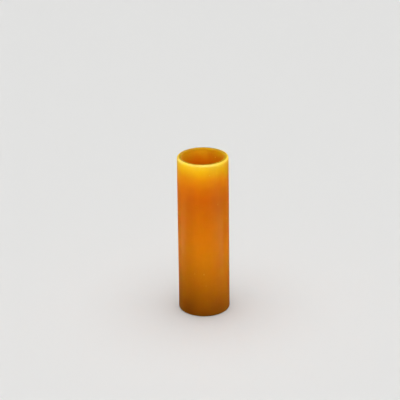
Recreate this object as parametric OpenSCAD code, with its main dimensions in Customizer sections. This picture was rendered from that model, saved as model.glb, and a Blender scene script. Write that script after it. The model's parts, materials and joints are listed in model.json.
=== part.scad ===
// Driving-range golf tee: one open tube moulded in translucent orange polyurethane.
// The foot slides over a range mat's stem, the ball sits on the lip, and the waist
// between them bends over when the club head strikes and then springs upright.
// Foot, waist and lip are three lengths of the same moulding. They meet face to face.
// Millimetres, +Z up, origin at the centre of the foot's lower face.

/* [Tube] */
// Height of the whole tee
tee_len = 60; // [50:1:80]
// Outer diameter at the foot
foot_d = 18.9; // [18.4:0.1:22]
// Outer diameter at the lip
lip_d = 18.6; // [18.4:0.1:22]
// Diameter of the straight bore
bore_d = 15.6; // [13:0.1:16]

/* [Lengths] */
// Height of the foot, the length that a stem holds straight
foot_len = 16; // [12:1:20]
// Height of the waist, the length that bends
waist_len = 26; // [20:1:28]

/* [Edges] */
// Rounding of the lip's outer edge
lip_round = 0.7; // [0.2:0.1:0.7]
// Rounding of the lip's inner edge, where the ball sits
lip_ease = 0.3; // [0.1:0.1:0.4]
// Rounding of the foot's outer edge
foot_round = 0.4; // [0.1:0.1:0.7]
// Rounding of the foot's inner edge, which leads a stem in
foot_ease = 0.3; // [0.1:0.1:0.4]

/* [Hidden] */
bore_r = bore_d / 2;
waist_bottom = foot_len;
waist_top = foot_len + waist_len;
arc_steps = 6;
$fn = 120;

// Outer radius at height z: the moulding's draft runs straight from foot to lip.
function outer_r(z) = (foot_d + (lip_d - foot_d) * z / tee_len) / 2;

// Points of an arc of radius r about [x, z], from angle a to angle b.
function arc(x, z, r, a, b) =
    [for (i = [0 : arc_steps])
        let (t = a + (b - a) * i / arc_steps)
        [x + r * cos(t), z + r * sin(t)]];

// One length of the tube, turned from its wall's half section. The points run round
// the section anticlockwise, from the bore at the bottom.
module turned_length(bottom, right, top) {
    color("darkorange")
        rotate_extrude()
            polygon(concat(bottom, right, top));
}

module foot() {
    turned_length(
        arc(bore_r + foot_ease, foot_ease, foot_ease, 180, 270),
        arc(outer_r(0) - foot_round, foot_round, foot_round, 270, 360),
        [[outer_r(waist_bottom), waist_bottom], [bore_r, waist_bottom]]
    );
}

module waist() {
    turned_length(
        [[bore_r, waist_bottom]],
        [[outer_r(waist_bottom), waist_bottom], [outer_r(waist_top), waist_top]],
        [[bore_r, waist_top]]
    );
}

module lip() {
    turned_length(
        [[bore_r, waist_top], [outer_r(waist_top), waist_top]],
        arc(outer_r(tee_len) - lip_round, tee_len - lip_round, lip_round, 0, 90),
        arc(bore_r + lip_ease, tee_len - lip_ease, lip_ease, 90, 180)
    );
}

foot();
waist();
lip();
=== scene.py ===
import json
import math

import bmesh
import bpy
from mathutils import Matrix, Vector, noise


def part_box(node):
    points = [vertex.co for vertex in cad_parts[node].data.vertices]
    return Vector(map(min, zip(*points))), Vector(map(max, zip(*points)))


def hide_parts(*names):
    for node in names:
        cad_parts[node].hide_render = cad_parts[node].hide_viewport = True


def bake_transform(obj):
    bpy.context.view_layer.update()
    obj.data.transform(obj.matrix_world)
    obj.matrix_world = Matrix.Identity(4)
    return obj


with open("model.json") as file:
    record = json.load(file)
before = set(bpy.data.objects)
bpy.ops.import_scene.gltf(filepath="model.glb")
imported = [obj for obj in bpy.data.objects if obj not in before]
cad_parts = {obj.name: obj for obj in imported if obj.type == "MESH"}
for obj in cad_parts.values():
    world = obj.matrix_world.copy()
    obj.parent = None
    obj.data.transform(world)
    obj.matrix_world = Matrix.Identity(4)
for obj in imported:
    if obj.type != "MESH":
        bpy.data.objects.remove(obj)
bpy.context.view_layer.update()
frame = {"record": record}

MM = 0.001


# ---------------------------------------------------------------- sizes, from the frame

FOOT_LOW, FOOT_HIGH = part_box("foot")
LIP_LOW, LIP_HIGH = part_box("lip")
TUBE_LEN = LIP_HIGH.z - FOOT_LOW.z
FOOT_R = FOOT_HIGH.x
BORE = next(m for m in frame["record"]["mounts"] if m["name"] == "stem_bore")
BORE_R = BORE["dims"]["r_mm"] * MM
MIDDLE = Vector((0, 0, FOOT_LOW.z + TUBE_LEN / 2))


# ---------------------------------------------------------------- camera

CAMERA_DISTANCE = 550 * MM
CAMERA_ELEVATION = math.radians(24.63)
# The sensor and the lens are in millimetres, as Blender takes them.
SENSOR = 36
LENS = 134.93
NEAREST, FARTHEST = 0.01, 20
# The camera aims a little above and to the left of the tee's middle, and leans slightly.
AIM_UP = math.radians(1.224)
AIM_LEFT = math.radians(0.136)
LEAN = math.radians(-0.67)


def make_camera():
    data = bpy.data.cameras.new("camera")
    data.sensor_width = SENSOR
    data.lens = LENS
    data.clip_start = NEAREST
    data.clip_end = FARTHEST
    camera = bpy.data.objects.new("camera", data)
    bpy.context.scene.collection.objects.link(camera)
    back = Vector((0, -math.cos(CAMERA_ELEVATION), math.sin(CAMERA_ELEVATION)))
    look = (-back).to_track_quat("-Z", "Y").to_matrix().to_4x4()
    turn = Matrix.Rotation(LEAN, 4, "Z") @ Matrix.Rotation(AIM_LEFT, 4, "Y") @ Matrix.Rotation(AIM_UP, 4, "X")
    camera.matrix_world = Matrix.Translation(MIDDLE + back * CAMERA_DISTANCE) @ look @ turn
    bpy.context.scene.camera = camera


# ---------------------------------------------------------------- the tube's mesh

LIP_ROUND = 0.7 * MM
LIP_EASE = 0.3 * MM
FOOT_ROUND = 0.4 * MM
FOOT_EASE = 0.3 * MM
# The walls stand this far inside the CAD's, which leaves room for their unevenness.
SKIN = 0.05 * MM
COLUMNS = 216
WALL_STEP = 0.36 * MM
FACE_STEP = 0.2 * MM
ARC_STEPS = 6

# Unevenness of the moulding: heights in metres, sizes in millimetres, the twist in radians per millimetre.
OVAL = 0.014 * MM
OVAL_TWIST = 0.03
SWELL = 0.014 * MM
SWELL_SIZE = 9
RIPPLE = 0.004 * MM
RIPPLE_SIZE = 1.8
SEAM = 0.014 * MM
TRIM = 0.10 * MM
TRIM_SIZE = 1.3

# A blister low on the front, and the gate's scar on the back of the foot's lower face.
BLISTER = Vector((0.0, -FOOT_R, 17.2 * MM))
BLISTER_R = 0.45 * MM
BLISTER_H = 0.05 * MM
GATE = Vector((0.0, (FOOT_R + BORE_R) / 2, FOOT_LOW.z))
GATE_R = 0.5 * MM
GATE_DEEP = 0.06 * MM


def arc(r, z, radius, start, end):
    """Points of a rounded edge in the wall's half section."""
    points = []
    for i in range(ARC_STEPS + 1):
        a = math.radians(start + (end - start) * i / ARC_STEPS)
        points.append((r + radius * math.cos(a), z + radius * math.sin(a)))
    return points


def straight(start, end, step):
    """Points strictly between two section points, about a step apart."""
    count = max(1, round(math.dist(start, end) / step))
    return [
        (start[0] + (end[0] - start[0]) * i / count, start[1] + (end[1] - start[1]) * i / count)
        for i in range(1, count)
    ]


def wall_section():
    """The wall's half section as (r, z), from the bore's lower edge round the foot, up, and down the bore."""
    low = FOOT_LOW.z
    high = LIP_HIGH.z
    foot_r = FOOT_R - SKIN
    lip_r = LIP_HIGH.x - SKIN
    inner_foot = arc(BORE_R + FOOT_EASE, low + FOOT_EASE, FOOT_EASE, 180, 270)
    outer_foot = arc(foot_r - FOOT_ROUND, low + FOOT_ROUND, FOOT_ROUND, 270, 360)
    outer_lip = arc(lip_r - LIP_ROUND, high - LIP_ROUND, LIP_ROUND, 0, 90)
    inner_lip = arc(BORE_R + LIP_EASE, high - LIP_EASE, LIP_EASE, 90, 180)
    return (
        inner_foot
        + straight(inner_foot[-1], outer_foot[0], FACE_STEP)
        + outer_foot
        + straight(outer_foot[-1], outer_lip[0], WALL_STEP)
        + outer_lip
        + straight(outer_lip[-1], inner_lip[0], FACE_STEP)
        + inner_lip
        + straight(inner_lip[-1], inner_foot[0], WALL_STEP)
    )


def bell(distance, radius):
    """1 at the centre, falling smoothly to 0 at the radius."""
    if distance >= radius:
        return 0.0
    return (1 + math.cos(math.pi * distance / radius)) / 2


def uneven(column, point):
    """A moulded point moved by the small faults of a cast and trimmed tube."""
    angle = 2 * math.pi * column / COLUMNS
    place = point / MM
    out = OVAL * math.cos(2 * angle + OVAL_TWIST * place.z)
    out += SWELL * noise.noise(place / SWELL_SIZE)
    out += RIPPLE * noise.noise(place / RIPPLE_SIZE)
    # The mould's two halves meet in a fine seam on either side.
    if column % (COLUMNS // 2) == 0:
        out += SEAM
    out += BLISTER_H * bell((point - BLISTER).length, BLISTER_R)
    outward = Vector((math.cos(angle), math.sin(angle), 0))
    moved = point + outward * out
    # The lip was trimmed to length, and its top edge dips a little here and there.
    near_lip = max(0.0, 1 - (LIP_HIGH.z - point.z) / LIP_ROUND)
    moved.z -= TRIM * near_lip * (0.5 + 0.5 * noise.noise(place / TRIM_SIZE))
    moved.z += GATE_DEEP * bell((point - GATE).length, GATE_R)
    return moved


def make_tube():
    section = wall_section()
    mesh = bpy.data.meshes.new("tee_tube")
    bm = bmesh.new()
    rings = []
    for c in range(COLUMNS):
        a = 2 * math.pi * c / COLUMNS
        around = [Vector((r * math.cos(a), r * math.sin(a), z)) for r, z in section]
        rings.append([bm.verts.new(uneven(c, point)) for point in around])
    for c in range(COLUMNS):
        here, there = rings[c], rings[(c + 1) % COLUMNS]
        for i in range(len(section)):
            j = (i + 1) % len(section)
            bm.faces.new((here[i], there[i], there[j], here[j]))
    bmesh.ops.recalc_face_normals(bm, faces=bm.faces)
    for face in bm.faces:
        face.smooth = True
    bm.to_mesh(mesh)
    bm.free()
    # The pattern's own coordinates in millimetres, which stay on the tube when it bends.
    rest = mesh.attributes.new("rest_mm", "FLOAT_VECTOR", "POINT")
    rest.data.foreach_set("vector", [x / MM for v in mesh.vertices for x in v.co])
    tube = bpy.data.objects.new("tee_tube", mesh)
    bpy.context.scene.collection.objects.link(tube)
    return tube


# ---------------------------------------------------------------- materials


class Tree:
    """A short way to add and join shader nodes."""

    def __init__(self, name):
        self.material = bpy.data.materials.new(name)
        self.material.use_nodes = True
        self.tree = self.material.node_tree
        self.shader = self.tree.nodes["Principled BSDF"]

    def add(self, kind, **values):
        node = self.tree.nodes.new(kind)
        for key, value in values.items():
            setattr(node, key, value)
        return node

    def join(self, output, socket):
        self.tree.links.new(output, socket)

    def feed(self, value, socket):
        """Sets a socket from a number or vector, or joins an output to it."""
        if isinstance(value, bpy.types.NodeSocket):
            self.join(value, socket)
        else:
            socket.default_value = value

    def math(self, operation, a, b=0.0):
        node = self.add("ShaderNodeMath", operation=operation)
        self.feed(a, node.inputs[0])
        self.feed(b, node.inputs[1])
        return node.outputs[0]

    def vector(self, operation, a, b=None):
        node = self.add("ShaderNodeVectorMath", operation=operation)
        self.feed(a, node.inputs[0])
        if b is not None:
            self.feed(b, node.inputs[1])
        return node.outputs

    def span(self, value, low, high, to_low=0.0, to_high=1.0):
        """Carries low..high to to_low..to_high, and holds it at the ends."""
        node = self.add("ShaderNodeMapRange")
        self.feed(value, node.inputs["Value"])
        node.inputs["From Min"].default_value = low
        node.inputs["From Max"].default_value = high
        node.inputs["To Min"].default_value = to_low
        node.inputs["To Max"].default_value = to_high
        return node.outputs[0]

    def ramp(self, value, length, stops):
        """Colours at distances from 0 to length."""
        node = self.add("ShaderNodeValToRGB")
        elements = node.color_ramp.elements
        while len(elements) < len(stops):
            elements.new(0.5)
        for element, (at, colour) in zip(elements, stops):
            element.position = at / length
            element.color = (*colour, 1)
        self.join(self.span(value, 0, length), node.inputs[0])
        return node.outputs[0]

    def mix(self, factor, a, b, blend="MIX"):
        node = self.add("ShaderNodeMix", data_type="RGBA", blend_type=blend)
        self.feed(factor, node.inputs[0])
        self.feed(a, node.inputs[6])
        self.feed(b, node.inputs[7])
        return node.outputs[2]

    def tinted(self, colour, tint):
        return self.mix(1.0, colour, tint, "MULTIPLY")

    def noise(self, vector, scale, detail=2.0, rough=0.5):
        node = self.add("ShaderNodeTexNoise")
        self.join(vector, node.inputs["Vector"])
        node.inputs["Scale"].default_value = scale
        node.inputs["Detail"].default_value = detail
        node.inputs["Roughness"].default_value = rough
        return node.outputs["Fac"]


# Colours down the outer wall and down the bore, by depth below the lip in millimetres, as painted light and
# shade on the tube's own amber.
# The yellow of the thin lip is a painted glow for light that enters it, and its palest stop is a painted
# highlight on the rounded edge. Deep in the wall it turns amber.
# The darker, redder amber about 13 to 22 millimetres down the outer wall is painted shade.
# The bore darkens down to 7 millimetres as painted shade, and it brightens deeper down as a painted glow.
OUTER_AMBER_PAINTED_LIGHT_AND_SHADE = (
    (0.0, (0.92, 0.585, 0.190)),
    (0.9, (0.94, 0.54, 0.034)),
    (2.4, (0.96, 0.47, 0.005)),
    (5.6, (0.91, 0.31, 0.003)),
    (9.6, (0.83, 0.20, 0.002)),
    (13.0, (0.79, 0.175, 0.002)),
    (22.0, (0.73, 0.190, 0.002)),
    (34.0, (0.75, 0.220, 0.003)),
)
BORE_AMBER_PAINTED_LIGHT_AND_SHADE = (
    (0.0, (0.42, 0.24, 0.004)),
    (1.4, (0.52, 0.24, 0.003)),
    (3.0, (0.51, 0.176, 0.002)),
    (5.0, (0.52, 0.138, 0.001)),
    (7.0, (0.41, 0.090, 0.001)),
    (16.0, (0.95, 0.42, 0.004)),
)
GLOW_LEN = 40
# The painted light is fullest on the front, the lit side. On the back it starts this far down the ramp, and
# follows it at this rate.
GLOW_START = 1.6
GLOW_RATE = 0.6
# The bore's colours give way to the outer wall's between these distances from the bore, in millimetres.
INSIDE, OUTSIDE = 0.7, 1.05

# Tints of the clouding and of the draw lines, the colour of the painted shade at the foot, and the colour of
# a bubble.
CLOUD_TINT = (0.95, 0.90, 0.85, 1)
STREAK_TINT = (1.06, 1.12, 1.5, 1)
PAINTED_FOOT_SHADE = (0.30, 0.07, 0.001, 1)
BUBBLE_PALE = (0.95, 0.50, 0.10, 1)
STREAK_STRENGTH = 0.3
BUBBLE_STRENGTH = 0.4
BLISTER_STRENGTH = 0.5
# The painted shade darkens the foot by this share at its lower face, and not at all this high up, in
# millimetres.
FOOT_DARK = 0.25
FOOT_FADE = 10.0
# Bubbles just under the skin show as small pale specks. Their spacing and radius are in millimetres.
BUBBLE_GAP = 5.0
BUBBLE_R = 0.35
# A speck is at its palest within this share of the spacing, and the blister within this many millimetres.
BUBBLE_CORE = 0.02
BLISTER_CORE = 0.1

# Scales of the patterns, in repeats per millimetre. A draw line is twenty times as long as it is wide.
CLOUD_SCALE = 0.17
STREAK_SCALE = 1.1
GRAIN_SCALE = 1.6
PEEL_SCALE = 1.1
DRAWN_OUT = (1, 1, 0.05)
FINE_DETAIL = 3.0
GRAIN_SHARPNESS = 0.6
# Where each pattern's noise starts and ends its change.
CLOUD_EDGES = (0.35, 0.65)
STREAK_EDGES = (0.45, 0.75)
ROUGH_EDGES = (0.3, 0.7)

# The skin: satin, a little rougher in some clouds and grains, and rougher again where its ends were cut.
ROUGH_LOW, ROUGH_HIGH = 0.36, 0.44
GRAIN_LOW, GRAIN_HIGH = -0.03, 0.05
CUT_ROUGH = 0.25
# The cut's roughness holds for this many millimetres from either end, and has faded out by these.
CUT_DEEP = 0.02
LIP_CUT, FOOT_CUT = 0.25, 0.3
GLOSS = 0.25
REFRACTION = 1.5
RELIEF = 0.02 * MM
PEEL_RELIEF, GRAIN_RELIEF, STREAK_RELIEF = 0.6, 0.15, 0.3
# Light travels furthest through the wall in red, then green, then blue.
SCATTER = (1.0, 0.8, 0.2)
SCATTER_LEN = 5.0 * MM


def amber_with_painted_light(t, rest, towards_back, depth):
    """The tube's amber with painted light and shade by depth below the lip, fullest on the front, before any
    pattern.
    """
    front, back = -FOOT_R / MM, FOOT_R / MM
    start = t.span(towards_back, front, back, 0.0, GLOW_START)
    rate = t.span(towards_back, front, back, 1.0, GLOW_RATE)
    outer_depth = t.math("ADD", t.math("MULTIPLY", depth, rate), start)
    radius = t.vector("LENGTH", t.vector("MULTIPLY", rest, (1, 1, 0))["Vector"])["Value"]
    outside = t.span(radius, BORE_R / MM + INSIDE, BORE_R / MM + OUTSIDE)
    return t.mix(outside, t.ramp(depth, GLOW_LEN, BORE_AMBER_PAINTED_LIGHT_AND_SHADE), t.ramp(outer_depth, GLOW_LEN, OUTER_AMBER_PAINTED_LIGHT_AND_SHADE))


def pale_specks(t, rest):
    """Bubbles all over the tube, and the blister on its front."""
    bubbles = t.add("ShaderNodeTexVoronoi")
    t.join(rest, bubbles.inputs["Vector"])
    bubbles.inputs["Scale"].default_value = 1 / BUBBLE_GAP
    to_blister = t.vector("DISTANCE", rest, BLISTER / MM)["Value"]
    blister = t.span(to_blister, BLISTER_CORE, BLISTER_R / MM, BLISTER_STRENGTH, 0.0)
    specks = t.span(bubbles.outputs["Distance"], BUBBLE_CORE, BUBBLE_R / BUBBLE_GAP, BUBBLE_STRENGTH, 0.0)
    return t.math("MAXIMUM", specks, blister)


def polyurethane():
    """Translucent amber polyurethane: clouded, with faint draw lines, fine specks and a satin skin, and with
    painted light and shade: a glow and a highlight at the lip, shade in the bore and towards the foot.
    """
    t = Tree("polyurethane")
    rest = t.add("ShaderNodeAttribute", attribute_name="rest_mm").outputs["Vector"]
    split = t.add("ShaderNodeSeparateXYZ")
    t.join(rest, split.inputs[0])
    height = split.outputs["Z"]
    depth = t.math("SUBTRACT", LIP_HIGH.z / MM, height)
    cloud = t.noise(rest, CLOUD_SCALE, FINE_DETAIL)
    streak = t.noise(t.vector("MULTIPLY", rest, DRAWN_OUT)["Vector"], STREAK_SCALE, FINE_DETAIL)
    grain = t.noise(rest, GRAIN_SCALE, FINE_DETAIL, GRAIN_SHARPNESS)
    peel = t.noise(rest, PEEL_SCALE)
    specks = pale_specks(t, rest)

    # Painted light and shade by depth below the lip: a glow and highlight at the lip, shade lower down and in
    # the bore.
    glow = amber_with_painted_light(t, rest, split.outputs["Y"], depth)
    glow = t.mix(t.span(cloud, *CLOUD_EDGES), glow, t.tinted(glow, CLOUD_TINT))
    glow = t.mix(t.span(streak, *STREAK_EDGES, 0.0, STREAK_STRENGTH), glow, t.tinted(glow, STREAK_TINT))
    # Painted shade: the colour darkens towards the foot's lower face.
    glow = t.mix(t.span(height, 0.0, FOOT_FADE, FOOT_DARK, 0.0), glow, PAINTED_FOOT_SHADE)
    glow = t.mix(specks, glow, BUBBLE_PALE)
    t.join(glow, t.shader.inputs["Base Color"])

    lip_cut = t.span(depth, CUT_DEEP, LIP_CUT, 1.0, 0.0)
    foot_cut = t.span(height, CUT_DEEP, FOOT_CUT, 1.0, 0.0)
    clouded = t.span(cloud, *ROUGH_EDGES, ROUGH_LOW, ROUGH_HIGH)
    grained = t.span(grain, *ROUGH_EDGES, GRAIN_LOW, GRAIN_HIGH)
    cut = t.math("MULTIPLY", t.math("MAXIMUM", lip_cut, foot_cut), CUT_ROUGH)
    t.join(t.math("ADD", t.math("ADD", clouded, grained), cut), t.shader.inputs["Roughness"])

    relief = t.math("ADD", t.math("MULTIPLY", peel, PEEL_RELIEF), t.math("MULTIPLY", grain, GRAIN_RELIEF))
    relief = t.math("ADD", relief, t.math("MULTIPLY", streak, STREAK_RELIEF))
    relief = t.math("ADD", relief, specks)
    bump = t.add("ShaderNodeBump")
    bump.inputs["Strength"].default_value = 1.0
    bump.inputs["Distance"].default_value = RELIEF
    t.join(relief, bump.inputs["Height"])
    t.join(bump.outputs[0], t.shader.inputs["Normal"])

    t.shader.inputs["Subsurface Weight"].default_value = 1.0
    t.shader.inputs["Subsurface Radius"].default_value = SCATTER
    t.shader.inputs["Subsurface Scale"].default_value = SCATTER_LEN
    t.shader.inputs["Specular IOR Level"].default_value = GLOSS
    t.shader.inputs["IOR"].default_value = REFRACTION
    return t.material


FLOOR_GREY = (0.82, 0.82, 0.81, 1)
FLOOR_ROUGH = 0.7


def pale_floor():
    t = Tree("pale_floor")
    t.shader.inputs["Base Color"].default_value = FLOOR_GREY
    t.shader.inputs["Roughness"].default_value = FLOOR_ROUGH
    return t.material


# ---------------------------------------------------------------- studio

FLOOR_SIZE = 6
# The floor lies this far below the foot's lower face, so that the two don't share a plane.
FLOOR_GAP = 0.01 * MM


def make_floor():
    bpy.ops.mesh.primitive_plane_add(size=FLOOR_SIZE, location=(0, 0, FOOT_LOW.z - FLOOR_GAP))
    floor = bpy.context.object
    floor.name = "floor"
    floor.data.materials.append(pale_floor())
    # The tee takes its light from the soft boxes only, and none from the floor.
    floor.visible_diffuse = False
    floor.visible_glossy = False
    return floor


def light_only(name, piece):
    """A collection that holds the one piece that some lights fall on."""
    group = bpy.data.collections.new(name)
    group.objects.link(piece)
    return group


# Soft boxes, as width and height, then their distances, and the heights that they are aimed at.
WIDE = (100 * MM, 30 * MM)
THIN = (100 * MM, 20 * MM)
SMALL = (20 * MM, 30 * MM)
STRIP = (20 * MM, 90 * MM)
TOP = (500 * MM, 500 * MM)
LAMP = (8 * MM, 10 * MM)
CLOSE = 60 * MM
SIDE = 250 * MM
NEAR = 300 * MM
ABOVE = 600 * MM
LIP_Z = LIP_HIGH.z
HIGH_Z = 50 * MM
LOW_Z = 26 * MM
FOOT_Z = 20 * MM
# The spread of a box without a grid, in degrees.
OPEN = 180


def soft_box(name, lit, watts, turn, rise, away, size, aim, spread=OPEN, skin_only=False):
    """A soft box aimed at a height on the tee's axis, so far away from that point.

    Its turn about the axis is 0 at the camera's side and 90 at +X. Turn and rise are in degrees.
    A spread below 180 degrees is a grid on the box, which keeps its light near the height it is aimed at.
    Such a box gives no highlight, and the satin skin reflects the open ones.
    A box for the skin only is seen in the skin's sheen and lights nothing else.
    """
    data = bpy.data.lights.new(name, "AREA")
    data.shape = "RECTANGLE"
    data.size, data.size_y = size
    data.energy = watts
    data.spread = math.radians(spread)
    light = bpy.data.objects.new(name, data)
    bpy.context.scene.collection.objects.link(light)
    a, e = math.radians(turn), math.radians(rise)
    outward = Vector((math.sin(a) * math.cos(e), -math.cos(a) * math.cos(e), math.sin(e)))
    light.location = Vector((0, 0, aim)) + outward * away
    light.rotation_mode = "QUATERNION"
    light.rotation_quaternion = (-outward).to_track_quat("-Z", "Y")
    light.light_linking.receiver_collection = lit
    light.visible_camera = False
    light.visible_glossy = spread == OPEN
    light.visible_diffuse = not skin_only
    light.visible_transmission = not skin_only


SUN_STRENGTH = 2.9
SUN_BREADTH = math.radians(70)


def floor_light(lit):
    """Even light on the whole floor, broad enough for a soft shadow."""
    data = bpy.data.lights.new("overhead", "SUN")
    data.energy = SUN_STRENGTH
    data.angle = SUN_BREADTH
    light = bpy.data.objects.new("overhead", data)
    bpy.context.scene.collection.objects.link(light)
    light.location = (0, 0, 1)
    light.light_linking.receiver_collection = lit


FILL_WHITE = (1, 1, 1, 1)
FILL_STRENGTH = 0.03
BACKDROP_GREY = (0.80, 0.80, 0.79, 1)


def make_world():
    """A pale backdrop to the camera, and a faint fill to everything else."""
    world = bpy.data.worlds.new("studio")
    world.use_nodes = True
    tree = world.node_tree
    fill = tree.nodes["Background"]
    fill.inputs["Color"].default_value = FILL_WHITE
    fill.inputs["Strength"].default_value = FILL_STRENGTH
    backdrop = tree.nodes.new("ShaderNodeBackground")
    backdrop.inputs["Color"].default_value = BACKDROP_GREY
    seen = tree.nodes.new("ShaderNodeLightPath")
    mix = tree.nodes.new("ShaderNodeMixShader")
    tree.links.new(seen.outputs["Is Camera Ray"], mix.inputs[0])
    tree.links.new(fill.outputs[0], mix.inputs[1])
    tree.links.new(backdrop.outputs[0], mix.inputs[2])
    tree.links.new(mix.outputs[0], tree.nodes["World Output"].inputs["Surface"])
    bpy.context.scene.world = world


def make_studio(tube, floor):
    make_world()
    bpy.context.scene.view_settings.view_transform = "Standard"
    # Uniform light sampling is less noisy here than the light tree.
    bpy.context.scene.cycles.use_light_tree = False

    tee = light_only("tee_lit", tube)
    soft_box("lip_key", tee, watts=0.0074, turn=0, rise=35, away=NEAR, size=THIN, aim=LIP_Z, spread=5)
    soft_box("front_key", tee, watts=0.0054, turn=0, rise=30, away=NEAR, size=WIDE, aim=LOW_Z, spread=7)
    soft_box("foot_key", tee, watts=0.0005, turn=0, rise=30, away=NEAR, size=SMALL, aim=FOOT_Z, spread=6)
    soft_box("left_strip", tee, watts=0.107, turn=-50, rise=8, away=SIDE, size=STRIP, aim=LIP_Z)
    soft_box("left_high", tee, watts=0.0008, turn=-60, rise=8, away=SIDE, size=SMALL, aim=HIGH_Z, spread=12)
    soft_box("right_strip", tee, watts=0.19, turn=50, rise=8, away=SIDE, size=STRIP, aim=LIP_Z)
    for key, strip in ((-120, -130), (120, 130)):
        soft_box("rear_lip", tee, watts=0.0015, turn=key, rise=35, away=NEAR, size=THIN, aim=LIP_Z, spread=5)
        soft_box("rear_key", tee, watts=0.005, turn=key, rise=30, away=NEAR, size=WIDE, aim=LOW_Z, spread=7)
        soft_box("rear_strip", tee, watts=0.14, turn=strip, rise=8, away=SIDE, size=STRIP, aim=LIP_Z)
    soft_box("top", tee, watts=0.3, turn=0, rise=89, away=ABOVE, size=TOP, aim=LIP_Z)
    # Two small lamps near the floor give the lower wall a faint upright sheen on either side.
    for turn, watts in ((-100, 0.0011), (76, 0.0018)):
        soft_box("sheen", tee, watts, turn, rise=-18, away=CLOSE, size=LAMP, aim=LOW_Z, skin_only=True)
    floor_light(light_only("floor_lit", floor))


# ---------------------------------------------------------------- the scene

make_camera()
tube = make_tube()
tube.data.materials.append(polyurethane())
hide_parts("foot", "waist", "lip")
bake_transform(tube)
make_studio(tube, make_floor())
